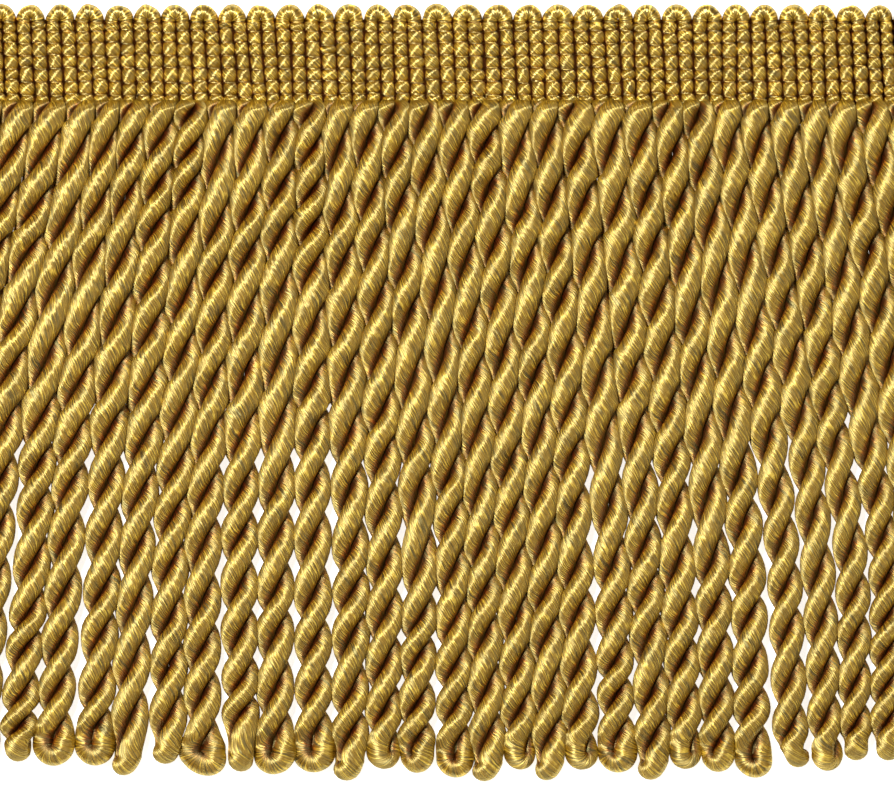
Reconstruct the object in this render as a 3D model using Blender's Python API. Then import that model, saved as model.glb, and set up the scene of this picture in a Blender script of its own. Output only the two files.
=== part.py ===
"""Cord fringe trim, lying flat: a ribbed woven heading and its row of two-ply twisted cords."""
import math

import bmesh
import bpy
from mathutils import Vector

# Driving size: a 6 inch fringe, from the scallop tops to the cord tips.
DROP = 0.1524
# The same drop in the photograph, and so the size of one of its pixels.
DROP_PX = 772.0
PX = DROP / DROP_PX
# Place in the photograph of the part's origin, the middle of what is built.
ORIGIN_X_PX = 452.0
ORIGIN_Y_PX = 396.5

# Heading, in metres.
RIB_HEIGHT = 0.0029
VALLEY_HEIGHT = 0.0020
EDGE_HEIGHT = 0.0015
RIB_PITCH = 14.8 * PX
GAP = 0.0003

# Heading, in photograph pixels.
HEADING_LOW_PX = 108.0
RIB_LOW_PX = 104.0
SCALLOP_BASE_PX = 22.4
SCALLOP_RISE_PX = 14.4
FIRST_SCALLOP_PX = -27.4
TIGHT_SCALLOP_PITCH_PX = 28.7
TIGHT_SCALLOPS = 11
SCALLOP_PITCH_PX = 29.75
COLUMNS_PER_RIB = 4

# Strip that the cords share, and the cords' own sections, in metres.
STRIP_DEPTH = 0.0021
STRIP_HEIGHT = 0.0030
CORD_HALF_WIDTH = 0.00335
CORD_GAP = 0.0004
ROOT_HALF_WIDTH = 0.0013
SECTION_LONG = 0.888
SECTION_SHORT = 0.46
RINGS_PER_HALF_TURN = 3
TIP_LENGTH = 0.0030
TIP_WIDTH_SHARE = 0.6

# Heights at which a cord's place is given, in photograph pixels.
TOP_PX = 140.0
MID_PX = 380.0
LOW_PX = 560.0
END_PX = 740.0
FAN_BOW = 0.18
MID_GROOVE = 6

# One row a cord, from left to right, in photograph pixels. x_top and x_end are its axis at the
# heights TOP_PX and END_PX, mid and low its sway at MID_PX and LOW_PX, tip its lowest point,
# first, sixth and last the heights of three grooves between its plies, and turns the number of
# half turns from the first to the last.
CORD_COLUMNS = ("x_top", "x_end", "mid", "low", "tip", "first", "sixth", "last", "turns")
CORD_ROWS = (
    (-16, -93, 0, 0, 766, 148, 466, 724, 11),
    (13, -56, 0, 0, 773, 156, 474, 732, 11),
    (45, -20, 1, 0, 768, 154, 480, 735, 11),
    (78, 18, 0, 3, 762, 157, 510, 727, 11),
    (105, 57, 2, 5, 766, 151, 486, 733, 11),
    (130, 95, 2, 3, 766, 150, 483, 727, 11),
    (160, 129, 5, 4, 776, 139, 440, 718, 11),
    (190, 168, 4, 4, 764, 151, 468, 716, 11),
    (219, 205, 2, 1, 776, 158, 492, 745, 11),
    (250, 242, -1, -3, 772, 151, 489, 713, 11),
    (280, 275, 1, 0, 775, 139, 486, 736, 11),
    (311, 314, -1, -1, 773, 151, 435, 733, 12),
    (337, 350, 2, 3, 781, 151, 489, 733, 11),
    (367, 384, 4, 3, 769, 142, 457, 710, 11),
    (395, 416, 5, 7, 773, 157, 492, 739, 11),
    (425, 455, 3, 2, 778, 120, 474, 707, 11),
    (455, 487, 0, 0, 782, 157, 489, 736, 11),
    (484, 520, 0, -1, 770, 145, 463, 710, 11),
    (517, 549, -1, -2, 781, 150, 489, 736, 11),
    (547, 581, 2, 2, 770, 142, 457, 713, 11),
    (576, 617, 0, 1, 773, 154, 505, 736, 11),
    (610, 653, -3, -2, 780, 148, 492, 736, 11),
    (640, 685, 0, -1, 769, 142, 457, 707, 11),
    (671, 717, -1, 2, 772, 154, 495, 742, 11),
    (700, 753, 0, 4, 778, 115, 474, 707, 11),
    (729, 794, -4, 0, 768, 148, 492, 727, 11),
    (757, 826, -1, 2, 772, 145, 465, 718, 11),
    (787, 856, -2, 6, 761, 151, 445, 724, 12),
    (817, 888, 1, 8, 761, 154, 492, 721, 12),
    (845, 925, 2, 4, 769, 148, 470, 715, 11),
    (877, 960, 2, 3, 776, 160, 480, 725, 11),
    (906, 997, 0, 2, 765, 150, 472, 728, 11),
)

GOLD = (0.46, 0.29, 0.07, 1.0)
DARK_GOLD = (0.40, 0.25, 0.06, 1.0)


def clear_scene():
    for item in list(bpy.data.objects):
        bpy.data.objects.remove(item, do_unlink=True)


def new_collection(name):
    collection = bpy.data.collections.new(name)
    bpy.context.scene.collection.children.link(collection)
    return collection


def yarn_material(name, color):
    material = bpy.data.materials.new(name)
    material.use_nodes = True
    shader = material.node_tree.nodes["Principled BSDF"]
    shader.inputs["Base Color"].default_value = color
    shader.inputs["Roughness"].default_value = 0.42
    shader.inputs["Metallic"].default_value = 0.0
    return material


def place(x_px, y_px, z):
    """A point of the part from its place in the photograph and its height in metres."""
    return Vector(((x_px - ORIGIN_X_PX) * PX, (ORIGIN_Y_PX - y_px) * PX, z))


def smooth_share(value):
    value = min(max(value, 0.0), 1.0)
    return value * value * (3.0 - 2.0 * value)


def sway_at(cord, y_px):
    if y_px < MID_PX:
        return cord["mid"] * smooth_share((y_px - TOP_PX) / (MID_PX - TOP_PX))
    if y_px < LOW_PX:
        share = smooth_share((y_px - MID_PX) / (LOW_PX - MID_PX))
        return cord["mid"] + (cord["low"] - cord["mid"]) * share
    return cord["low"] * smooth_share((END_PX - y_px) / (END_PX - LOW_PX))


def axis_at(cord, y_px):
    """The cord's axis: a fan that bows out a little, with the cord's own sway."""
    share = (y_px - TOP_PX) / (END_PX - TOP_PX)
    bow = FAN_BOW * math.sin(math.pi * min(max(share, 0.0), 1.0))
    return cord["x_top"] + (cord["x_end"] - cord["x_top"]) * (share + bow) + sway_at(cord, y_px)


def groove_height(cord, turn):
    """Height of the cord's axis after a number of half turns: a parabola through three grooves."""
    first, sixth, last = cord["first"], cord["sixth"], cord["last"]
    end = cord["turns"]
    at_first = (turn - MID_GROOVE) * (turn - end) / (MID_GROOVE * end)
    at_sixth = turn * (turn - end) / (MID_GROOVE * (MID_GROOVE - end))
    at_last = turn * (turn - MID_GROOVE) / (end * (end - MID_GROOVE))
    return first * at_first + sixth * at_sixth + last * at_last


def half_width_at(cords, index, y_px):
    """Half of the room between the neighbours' axes, up to the cord's full half width."""
    here = axis_at(cords[index], y_px)
    rooms = [abs(axis_at(cords[side], y_px) - here)
             for side in (index - 1, index + 1) if 0 <= side < len(cords)]
    return min(CORD_HALF_WIDTH, (min(rooms) * PX - CORD_GAP) / 2.0)


def cord_stations(cords, index):
    """Rows of (photograph height, half width, turn), from the root in the strip to the tip."""
    cord = cords[index]
    root = HEADING_LOW_PX + (GAP + STRIP_DEPTH * 0.45) / PX
    stations = []
    turn = -MID_GROOVE
    while True:
        y_px = groove_height(cord, turn)
        if y_px > cord["tip"] - 0.4 * TIP_LENGTH / PX:
            break
        if y_px > root + 2.0 * STRIP_DEPTH / PX:
            stations.append((y_px, turn))
        turn += 1.0 / RINGS_PER_HALF_TURN
    stations.insert(0, (root, stations[0][1] - 1.0 / RINGS_PER_HALF_TURN))
    stations.append((cord["tip"], stations[-1][1] + 0.5 / RINGS_PER_HALF_TURN))
    rows = []
    for y_px, turn in stations:
        to_tip = (cord["tip"] - y_px) * PX
        rounding = TIP_WIDTH_SHARE + (1.0 - TIP_WIDTH_SHARE) * min(to_tip / TIP_LENGTH, 1.0) ** 0.5
        width = ROOT_HALF_WIDTH if y_px == root else half_width_at(cords, index, y_px) * rounding
        rows.append((y_px, width, turn))
    return rows


def section_curve(collection):
    """The cord's section: two plies side by side, as a flat four-sided outline of radius 1."""
    curve = bpy.data.curves.new("cord_section", "CURVE")
    curve.dimensions = "2D"
    spline = curve.splines.new("POLY")
    spline.points.add(3)
    corners = ((-1, -1), (1, -1), (1, 1), (-1, 1))
    for point, (side, face) in zip(spline.points, corners):
        point.co = (side * SECTION_LONG, face * SECTION_SHORT, 0.0, 1.0)
    spline.use_cyclic_u = True
    section = bpy.data.objects.new("cord_section", curve)
    section.hide_render = True
    section.display_type = "WIRE"
    collection.objects.link(section)
    return section


def cord_curve(name, rows, cord, section, collection):
    curve = bpy.data.curves.new(name, "CURVE")
    curve.dimensions = "3D"
    curve.twist_mode = "Z_UP"
    curve.bevel_mode = "OBJECT"
    curve.bevel_object = section
    curve.use_fill_caps = True
    spline = curve.splines.new("POLY")
    spline.points.add(len(rows) - 1)
    for point, (y_px, width, turn) in zip(spline.points, rows):
        rise = STRIP_HEIGHT / 2.0 if width == ROOT_HALF_WIDTH else width
        point.co = (*place(axis_at(cord, y_px), y_px, rise), 1.0)
        point.radius = width
        point.tilt = math.pi * turn
    item = bpy.data.objects.new(name, curve)
    collection.objects.link(item)
    return item


def mesh_from_curve(item, collection):
    """The curve's evaluated surface as a closed mesh object, in place of the curve."""
    graph = bpy.context.evaluated_depsgraph_get()
    mesh = bpy.data.meshes.new_from_object(item.evaluated_get(graph))
    work = bmesh.new()
    work.from_mesh(mesh)
    bmesh.ops.remove_doubles(work, verts=work.verts, dist=0.00001)
    bmesh.ops.recalc_face_normals(work, faces=work.faces)
    work.to_mesh(mesh)
    work.free()
    solid = bpy.data.objects.new(item.name + "_solid", mesh)
    solid.matrix_world = item.matrix_world
    collection.objects.link(solid)
    bpy.data.objects.remove(item, do_unlink=True)
    return solid


def join_meshes(name, solids, collection):
    """One object from several, its bodies still apart."""
    work = bmesh.new()
    for solid in solids:
        work.from_mesh(solid.data)
        bpy.data.objects.remove(solid, do_unlink=True)
    mesh = bpy.data.meshes.new(name)
    work.to_mesh(mesh)
    work.free()
    joined = bpy.data.objects.new(name, mesh)
    joined.hide_render = True
    joined.display_type = "WIRE"
    collection.objects.link(joined)
    return joined


def scallop_centres():
    """Places along the top edge, in photograph pixels; the left end is woven a little tighter."""
    centres = [FIRST_SCALLOP_PX]
    for index in range(len(CORD_ROWS)):
        tight = index < TIGHT_SCALLOPS
        centres.append(centres[-1] + (TIGHT_SCALLOP_PITCH_PX if tight else SCALLOP_PITCH_PX))
    return centres


def rib_feet(cords):
    """Where the ribs meet the cords: the right rib of a pair stands over the cord's front ply."""
    pitch = RIB_PITCH / PX
    feet = []
    for cord in cords:
        right = axis_at(cord, HEADING_LOW_PX) + pitch / 2.0
        feet.extend((right - pitch, right))
    return [feet[0] - pitch] + feet + [feet[-1] + pitch]


def rib_heads():
    heads = []
    for centre in scallop_centres():
        heads.extend((centre - RIB_PITCH / PX / 2.0, centre + RIB_PITCH / PX / 2.0))
    return heads


def edges_between(places):
    """The valleys between neighbours, and one beyond each end."""
    inner = [(a + b) / 2.0 for a, b in zip(places, places[1:])]
    return [2.0 * places[0] - inner[0]] + inner + [2.0 * places[-1] - inner[-1]]


def column_place(edges, column):
    rib, step = divmod(column, COLUMNS_PER_RIB)
    if step == 0:
        return edges[rib]
    return edges[rib] + (edges[rib + 1] - edges[rib]) * step / COLUMNS_PER_RIB


def build_heading(cords, collection):
    """Woven band: rounded ribs raised on a flat back, a scallop over each pair."""
    head_edges = edges_between(rib_heads())
    foot_edges = edges_between(rib_feet(cords))
    columns = (len(head_edges) - 1) * COLUMNS_PER_RIB
    # Rows from the lower edge up: height in the photograph, share of the scallop's rise, and how
    # much of the rib's crest stands there.
    rows = (
        (HEADING_LOW_PX, 0.0, 0.0),
        (RIB_LOW_PX, 0.0, 1.0),
        (SCALLOP_BASE_PX, 0.0, 1.0),
        (SCALLOP_BASE_PX, 0.62, 1.0),
        (SCALLOP_BASE_PX, 1.0, 0.0),
    )
    work = bmesh.new()
    bmesh.ops.create_grid(work, x_segments=columns, y_segments=len(rows) - 1, size=1.0)
    work.verts.ensure_lookup_table()
    for vertex in work.verts:
        column = round((vertex.co.x + 1.0) / 2.0 * columns)
        row = rows[round((vertex.co.y + 1.0) / 2.0 * (len(rows) - 1))]
        y_px, rise, crest = row
        upward = (HEADING_LOW_PX - y_px) / (HEADING_LOW_PX - SCALLOP_BASE_PX)
        head = column_place(head_edges, column)
        foot = column_place(foot_edges, column)
        across_rib = math.sin(math.pi * (column % COLUMNS_PER_RIB) / COLUMNS_PER_RIB)
        across_pair = 2.0 * (column % (2 * COLUMNS_PER_RIB)) / (2 * COLUMNS_PER_RIB) - 1.0
        arch = math.sqrt(max(1.0 - across_pair ** 2, 0.0))
        lift = SCALLOP_RISE_PX * rise * (0.12 + 0.88 * arch)
        ridge = VALLEY_HEIGHT + (RIB_HEIGHT - VALLEY_HEIGHT) * across_rib
        height = EDGE_HEIGHT + (ridge - EDGE_HEIGHT) * crest
        vertex.co = place(foot + (head - foot) * upward, y_px - lift, height)
    raised = bmesh.ops.extrude_face_region(work, geom=list(work.faces))
    back = [item for item in raised["geom"] if isinstance(item, bmesh.types.BMVert)]
    for vertex in back:
        vertex.co.z = 0.0
    flat = [item for item in raised["geom"] if isinstance(item, bmesh.types.BMFace)]
    bmesh.ops.dissolve_faces(work, faces=flat, use_verts=False)
    bmesh.ops.recalc_face_normals(work, faces=work.faces)
    mesh = bpy.data.meshes.new("heading")
    work.to_mesh(mesh)
    work.free()
    heading = bpy.data.objects.new("heading", mesh)
    heading.data.materials.append(yarn_material("heading_yarn", DARK_GOLD))
    collection.objects.link(heading)
    return heading


def build_strip(heading, collection):
    """Narrow bar under the heading's lower edge, as wide as the heading there."""
    xs = [vertex.co.x for vertex in heading.data.vertices]
    low = place(0.0, HEADING_LOW_PX, 0.0).y - GAP
    bpy.ops.mesh.primitive_cube_add(size=1.0)
    strip = bpy.context.active_object
    strip.name = "fringe"
    strip.data.name = "fringe"
    corners = {-0.5: (min(xs), low - STRIP_DEPTH, 0.0), 0.5: (max(xs), low, STRIP_HEIGHT)}
    for vertex in strip.data.vertices:
        vertex.co = [corners[share][axis] for axis, share in enumerate(vertex.co)]
    for home in list(strip.users_collection):
        home.objects.unlink(strip)
    collection.objects.link(strip)
    return strip


def build_fringe(cords, heading, collection, helpers):
    """The strip with every cord grown from it."""
    strip = build_strip(heading, collection)
    section = section_curve(helpers)
    solids = []
    for index, cord in enumerate(cords):
        rows = cord_stations(cords, index)
        curve = cord_curve("cord_%02d" % (index + 1), rows, cord, section, helpers)
        solids.append(mesh_from_curve(curve, helpers))
    strands = join_meshes("cords", solids, helpers)
    union = strip.modifiers.new("cords", "BOOLEAN")
    union.operation = "UNION"
    union.solver = "EXACT"
    union.object = strands
    strip.data.materials.append(yarn_material("cord_yarn", GOLD))
    return strip


def main():
    clear_scene()
    collection = new_collection("cord_fringe_trim")
    helpers = new_collection("cord_fringe_trim_helpers")
    cords = [dict(zip(CORD_COLUMNS, row)) for row in CORD_ROWS]
    heading = build_heading(cords, collection)
    build_fringe(cords, heading, collection, helpers)


main()
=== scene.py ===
"""Looks of the cord fringe trim: satin two-ply cords hanging from a ribbed, scalloped heading."""
import math

import bpy
import numpy as np
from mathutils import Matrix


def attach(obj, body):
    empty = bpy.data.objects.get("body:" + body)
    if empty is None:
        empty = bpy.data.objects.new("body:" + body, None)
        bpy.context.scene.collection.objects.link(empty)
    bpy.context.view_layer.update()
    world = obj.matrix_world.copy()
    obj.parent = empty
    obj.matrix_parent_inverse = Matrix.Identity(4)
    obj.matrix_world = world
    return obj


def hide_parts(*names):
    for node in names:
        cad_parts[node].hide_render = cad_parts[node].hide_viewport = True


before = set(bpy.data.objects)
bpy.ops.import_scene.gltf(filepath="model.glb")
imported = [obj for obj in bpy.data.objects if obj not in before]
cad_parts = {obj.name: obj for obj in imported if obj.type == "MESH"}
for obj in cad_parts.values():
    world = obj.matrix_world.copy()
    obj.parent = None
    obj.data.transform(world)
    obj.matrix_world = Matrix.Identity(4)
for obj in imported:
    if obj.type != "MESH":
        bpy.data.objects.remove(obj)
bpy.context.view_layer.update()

RANDOM = np.random.default_rng(7)

# The photograph's scale and the place of the part's origin in it, as in the part's source.
DROP = 0.1524
DROP_PX = 772.0
PX = DROP / DROP_PX
ORIGIN_X_PX = 452.0
ORIGIN_Y_PX = 396.5
PHOTO_WIDTH_PX = 894.0
PHOTO_HEIGHT_PX = 786.0

# Camera, with its height above the cords' middle in metres.
SENSOR_MM = 36.0
CAMERA_HEIGHT = 2.0
CLIP_START = 0.1
CLIP_END = 20.0

# All sizes of the cords and the heading are in photograph pixels, unless a name says otherwise: a place
# is x to the right and y down in the photograph, and a height is above the floor.
RIGHTWARD = np.array((1.0, 0.0, 0.0))
DOWNWARD = np.array((0.0, 1.0, 0.0))
UPRIGHT = np.array((0.0, 0.0, 1.0))

# The cords' axes: the levels of the table below, how far the fan bows out, and their height.
TOP_PX = 140.0
MID_PX = 380.0
LOW_PX = 560.0
END_PX = 740.0
FAN_BOW = 0.18
AXIS_HEIGHT = 19.7

# A cord's two plies: how far each lies from the axis, its half thickness outward and sideways, how far
# it sinks into the other and how flat its inner side is. The last one flattens the whole cord.
PLY_OFFSET = 9.3
PLY_RADIAL = 10.2
PLY_WIDE = 12.3
PLY_OVERLAP = 0.4
PLY_INNER_POWER = 0.65
CORD_FLATNESS = 0.8

# Cords are fuller near the heading.
TOP_SIZE = 1.13
TOP_SIZE_START_PX = 230.0
TOP_SIZE_END_PX = 460.0

# Neighbours: how far two cords press into each other, how wide a gap between them still closes and where
# that fades out, the farthest point that is pressed, in half widths of its cord, and the height above the
# tip under which the pressing changes no more.
NEIGHBOUR_OVERLAP = 1.7
NEIGHBOUR_REACH = 7.0
REACH_START_PX = 380.0
REACH_END_PX = 480.0
PRESS_LIMIT = 1.3
PRESS_END = 24.0

# The shade along the contact: where it starts, in half widths of the cord, how deep it is, and the heights
# above the tip between which it fades out.
CONTACT_START = 0.93
CONTACT_DEPTH = 0.76
CONTACT_FADE_START = 60.0
CONTACT_FADE_END = 30.0

# A cord's roots, where its yarn comes thin out of two ribs of the heading and swells. The side on which
# a ply lies at LANE_PX tells which rib it comes from.
ROOT_PX = 93.0
ROOT_RADIUS = 4.0
GROWTH_START_PX = 99.0
GROWTH_END_PX = 111.0
LANE_PX = 103.0

# A cord's loop: its least half width beside the plies' offset, its depth beside its half width, and the
# stretches above it where the plies open and where the cord comes down to the loop's own height.
LOOP_WIDTH_LEAST = 0.98
LOOP_DEPTH_SHARE = 0.95
LOOP_OPENING = 22.0
LOOP_LOWERING = 40.0

# Rings of a cord's yarn.
TOP_RING_STEP = 1.0
RING_STEP = 2.5
LOOP_RING_STEP = 1.7
LOOP_RINGS_LEAST = 12
CORD_SIDES = 16
CORDS_PER_PIECE = 8

# Slow random swelling: how many rings lie between two knots of it, and how strong it is.
CORD_SWELL_RINGS = 9.0
CORD_SWELL = 0.022
RIB_SWELL_RINGS = 4.0
RIB_SWELL = 0.05
SWELL_KNOTS_LEAST = 4
SWELL_AROUND = 0.7

# Filaments: how far they turn about the yarn for each turn of the cord and for each pixel of a loop, the
# stretch over which they come to lie straight round a loop's yarn, how much they do so at least on a loop
# seen edge on, and how many rings from the loop's middle the angle that faces the viewer is read.
FILAMENT_TURN = 2.45
LOOP_FILAMENT_RATE = 0.19
LOOP_WRAP_REACH = 20.0
EDGE_ON_WRAP = 0.35
FACING_RINGS = 12

# Yarn maps: the length that is 1 in them, and how far apart the maps of two yarns start.
MAP_LENGTH = 100.0
CORD_MAP_STEP = 13.0
RIB_MAP_STEP = 7.0
THREAD_MAP_STEP = 3.0

# One row a cord, from left to right: its axis at TOP_PX and END_PX, its sway at MID_PX and LOW_PX, its
# lowest point, how many half turns past the last groove its loop stands, that loop's outer width, how far
# the loop's end leans to the right, and the cord's thickness beside the others'.
CORD_COLUMNS = ("x_top", "x_end", "mid", "low", "tip", "loop_turn", "loop_width", "lean", "size")
CORD_ROWS = (
    (-16, -93, 0, 0, 766, 0.50, 28, 0, 1.00),
    (13, -56, 0, 0, 773, 0.15, 41, 0, 1.00),
    (45, -20, 1, 4, 768, 0.15, 43, 0, 1.00),
    (78, 18, 0, 5, 762, 0.55, 28, 0, 1.00),
    (105, 54, 2, 3, 766, 0.15, 45, 0, 1.00),
    (130, 95, 2, 3, 766, 0.16, 44, 0, 1.00),
    (160, 129, 5, 2.5, 776, 0.42, 29, -4, 1.00),
    (190, 168, 4, -1, 764, 0.46, 28, -3, 1.00),
    (219, 202, 2, -2, 776, 0.12, 49, 6, 1.00),
    (250, 241, -1, -3, 772, 0.46, 26, 0, 1.00),
    (280, 275, 1, 0, 775, 0.18, 45, -2, 1.00),
    (311, 314, -1, -1, 773, 0.15, 46, 0, 1.00),
    (337, 350, 2, 3, 781, 0.42, 29, -4, 1.00),
    (367, 384, 4, 3, 769, 0.77, 30, 0, 1.00),
    (395, 416, 5, 7, 773, 0.25, 32, 0, 1.00),
    (425, 455, 3, 2, 778, 1.10, 40, 0, 1.00),
    (455, 487, 0, 0, 782, 0.42, 29, -4, 1.00),
    (484, 520, 0, -1, 770, 0.77, 30, 0, 1.00),
    (517, 549, 0, 0, 781, 0.42, 29, -4, 1.00),
    (547, 580, 1, 0, 770, 0.77, 30, 1, 1.00),
    (576, 617, 0, 1, 773, 0.20, 41, 0, 1.00),
    (610, 653, -3, -2, 780, 0.42, 29, -4, 1.00),
    (640, 685, 0, -1, 769, 0.77, 29, 0, 1.00),
    (671, 717, 0.5, 2, 772, 0.25, 32, 0, 1.00),
    (700, 752, -1.5, 2.5, 778, 1.06, 38, 2, 1.00),
    (729, 791, -4, 2, 768, 0.50, 28, 6, 0.94),
    (757, 826, -1, 2, 772, 0.70, 28, 0, 0.93),
    (787, 856, -2, 6, 761, 0.50, 25, 0, 0.92),
    (817, 888, 1, 8, 761, 0.50, 26, 0, 0.93),
    (845, 925, 2, 4, 769, 0.60, 28, 0, 1.00),
    (877, 960, 2, 3, 776, 0.70, 30, 0, 1.00),
    (906, 997, 0, 2, 765, 0.50, 28, 0, 1.00),
)

# The heights of each cord's grooves, where its plies lie side by side, in the same order.
GROOVES = (
    (148, 206, 262, 316, 368, 418, 466, 512, 560, 608, 668, 724),
    (154, 210, 254, 320, 369, 428, 474, 526, 578, 630, 682, 732),
    (154, 210, 254, 320, 369, 428, 480, 532, 584, 634, 686, 735),
    (157, 222, 284, 360, 419, 466, 510, 563, 613, 648, 695, 727),
    (151, 208, 260, 328, 385, 440, 486, 539, 593, 643, 689, 733),
    (150, 198, 260, 319, 378, 430, 483, 536, 591, 636, 689, 727),
    (139, 186, 228, 281, 331, 386, 440, 495, 548, 605, 663, 718),
    (151, 189, 236, 298, 354, 413, 468, 516, 566, 618, 666, 716),
    (158, 227, 277, 330, 383, 440, 492, 545, 601, 648, 695, 745),
    (151, 210, 257, 316, 375, 435, 489, 536, 586, 633, 680, 713),
    (139, 189, 236, 295, 360, 425, 486, 536, 589, 633, 689, 736),
    (151, 192, 228, 269, 330, 383, 435, 486, 539, 595, 642, 689, 733),
    (151, 213, 263, 322, 375, 437, 489, 548, 592, 636, 692, 733),
    (142, 198, 248, 301, 354, 410, 457, 510, 563, 613, 663, 710),
    (157, 204, 266, 316, 380, 440, 492, 565, 618, 657, 704, 739),
    (120, 172, 225, 289, 354, 416, 474, 519, 570, 621, 666, 707),
    (157, 210, 263, 325, 377, 433, 489, 545, 592, 636, 689, 736),
    (145, 189, 245, 295, 354, 410, 463, 515, 565, 618, 665, 710),
    (150, 210, 263, 327, 375, 433, 489, 542, 592, 636, 692, 736),
    (142, 198, 251, 298, 354, 410, 457, 510, 567, 613, 666, 713),
    (154, 204, 260, 320, 378, 440, 505, 565, 613, 660, 695, 736),
    (148, 207, 263, 325, 377, 433, 492, 545, 592, 636, 692, 736),
    (142, 195, 248, 301, 354, 410, 457, 507, 563, 616, 660, 707),
    (154, 204, 257, 319, 372, 435, 495, 560, 607, 654, 701, 742),
    (115, 166, 222, 286, 351, 410, 474, 521, 574, 616, 666, 707),
    (148, 204, 263, 330, 383, 437, 492, 539, 586, 630, 680, 727),
    (145, 198, 254, 305, 358, 415, 465, 515, 571, 621, 671, 718),
    (151, 207, 257, 307, 357, 400, 445, 495, 548, 595, 636, 683, 724),
    (154, 213, 272, 328, 385, 445, 492, 536, 577, 616, 650, 685, 721),
    (148, 204, 251, 307, 362, 417, 470, 520, 570, 620, 668, 715),
    (160, 212, 264, 317, 371, 426, 480, 532, 582, 632, 680, 725),
    (150, 204, 258, 312, 366, 420, 472, 524, 576, 628, 678, 728),
)

# Heading: the edges of its scallops at SCALLOP_BASE_PX and of its ribs at RIB_EDGES_LEVEL_PX.
HEADING_LOW_PX = 108.0
SCALLOP_BASE_PX = 21.0
SCALLOP_EDGES_PX = (
    -42.0, -13.0, 15.8, 45.0, 74.5, 103.7, 133.3, 161.3, 189.2, 218.0, 246.0, 274.7, 304.2, 334.3, 363.8,
    392.2, 421.7, 452.3, 482.3, 513.5, 542.7, 573.5, 603.5, 633.5, 661.8, 692.2, 722.2, 750.8, 778.8, 808.8,
    836.3, 865.8, 893.0, 922.0)
RIB_EDGES_LEVEL_PX = 80.5
RIB_EDGES_PX = (
    -38.5, -24.0, -10.0, 4.2, 18.7, 33.3, 48.7, 62.5, 78.0, 92.0, 107.5, 121.7, 135.8, 149.2, 164.2, 177.5,
    193.3, 207.5, 221.7, 237.2, 251.3, 264.7, 278.5, 292.2, 306.3, 322.2, 338.0, 351.3, 365.5, 380.5, 394.7,
    408.8, 424.7, 441.3, 455.5, 469.3, 486.0, 501.3, 516.8, 531.0, 544.3, 560.2, 576.8, 592.7, 608.5, 621.8,
    635.2, 649.7, 665.7, 679.3, 694.7, 708.8, 723.0, 737.2, 752.2, 767.2, 783.0, 797.2, 811.3, 825.5, 839.7,
    853.8, 869.7, 883.0, 897.5, 911.5, 926.0)
RIB_SHARES = (0.25, 0.75)
RIB_PITCH_PX = 14.8
SCALLOP_RISE_PX = 9.7
SCALLOP_STEPS = 24
SCALLOP_WRAP_REACH = 5.0
RIB_RADIUS = 7.35
RIB_OVERLAP = 0.15
RIB_CENTRE_HEIGHT = 7.45
RIB_END_PX = 110.0
RIB_SIDES = 16
RIB_FILAMENT_RATE = 0.15

# The rings below each warp row, and how a row draws a rib in: in height, to the sides and in shade.
BEAD_RINGS = (0.0, 0.7, 1.6, 3.0)
PINCH_DEPTH = 0.5
PINCH_SIDE_DEPTH = 0.22
PINCH_POWER = 2.4
PINCH_SHADE = 0.95

# The shade down a rib's sides: where it starts on a full rib and on a drawn-in one, and how deep it is.
RIB_SIDE_START = 0.70
RIB_CORNER_START = 0.0
RIB_SIDE_DEPTH = 0.86

# The fine warp threads, two in each row, and how far each rib's crossing may stray from its row. Where a
# thread runs low between and under the ribs it is painted dark, as shade.
WARP_ROWS_PX = (21.5, 30.5, 42.5, 55.0, 67.7, 81.0, 94.7, 104.5)
ROW_SCATTER = 1.1
WARP_HALF_WIDTH = 0.75
WARP_HALF_HEIGHT = 0.8
WARP_SINK = 0.5
WARP_WAVE_POWER = 0.5
WARP_SHADE_RISE = 3.0
WARP_SIDES = 8
WARP_STEPS_PER_RIB = 8

# A dark sheet between the ribs, painted shade in their gaps.
SHADE_SHEET_HALF_THICKNESS = 1.2
SHADE_SHEET_INSET = 2.0
SHADE_SHEET_RINGS = 12
SHADE_SHEET_SIDES = 8
GAP_SHADE_COLOR = (0.03, 0.009, 0.002, 1.0)
GAP_SHADE_ROUGHNESS = 1.0
GAP_SHADE_SPECULAR = 0.0

# Yarns: three shades of the filaments, how many go round the yarn and how often they change along MAP_LENGTH
# of it, then roughness, relief and how metallic the shine is deep in the grooves, as painted shade there.
CORD_YARN = dict(
    deep=(0.205, 0.100, 0.003), mid=(0.35, 0.200, 0.011), bright=(0.55, 0.375, 0.045),
    filaments=46.0, along=9.0, roughness=0.54, bump=1.1, shade_metal=0.48)
HEADING_YARN = dict(
    deep=(0.185, 0.092, 0.004), mid=(0.47, 0.275, 0.022), bright=(0.80, 0.57, 0.10),
    filaments=28.0, along=12.0, roughness=0.42, bump=1.1, shade_metal=0.5)
WARP_THREAD = dict(
    deep=(0.10, 0.04, 0.003), mid=(0.28, 0.16, 0.015), bright=(0.6, 0.42, 0.10),
    filaments=9.0, along=8.0, roughness=0.36, bump=0.5, shade_metal=0.8)

# Painted shade, darker and redder as the shade deepens in a groove, and colours along single filaments,
# each multiplying the yarn's own colour.
GROOVE_SHADE_STOPS = (
    (0.0, (1.0, 1.0, 1.0)), (0.57, (1.0, 0.95, 0.80)), (0.68, (0.80, 0.37, 0.14)),
    (0.77, (0.36, 0.05, 0.01)), (0.92, (0.16, 0.014, 0.004)))
LINE_STOPS = ((0.33, (0.16, 0.07, 0.02)), (0.42, (1.0, 1.0, 1.0)), (0.62, (1.3, 1.3, 1.3)))

# Single dark and bright filaments show fully on a yarn's sides and by LINE_TOP_SHARE on its top.
LINE_SIDE_START = 0.05
LINE_SIDE_END = 0.45
LINE_TOP_SHARE = 0.85

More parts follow.
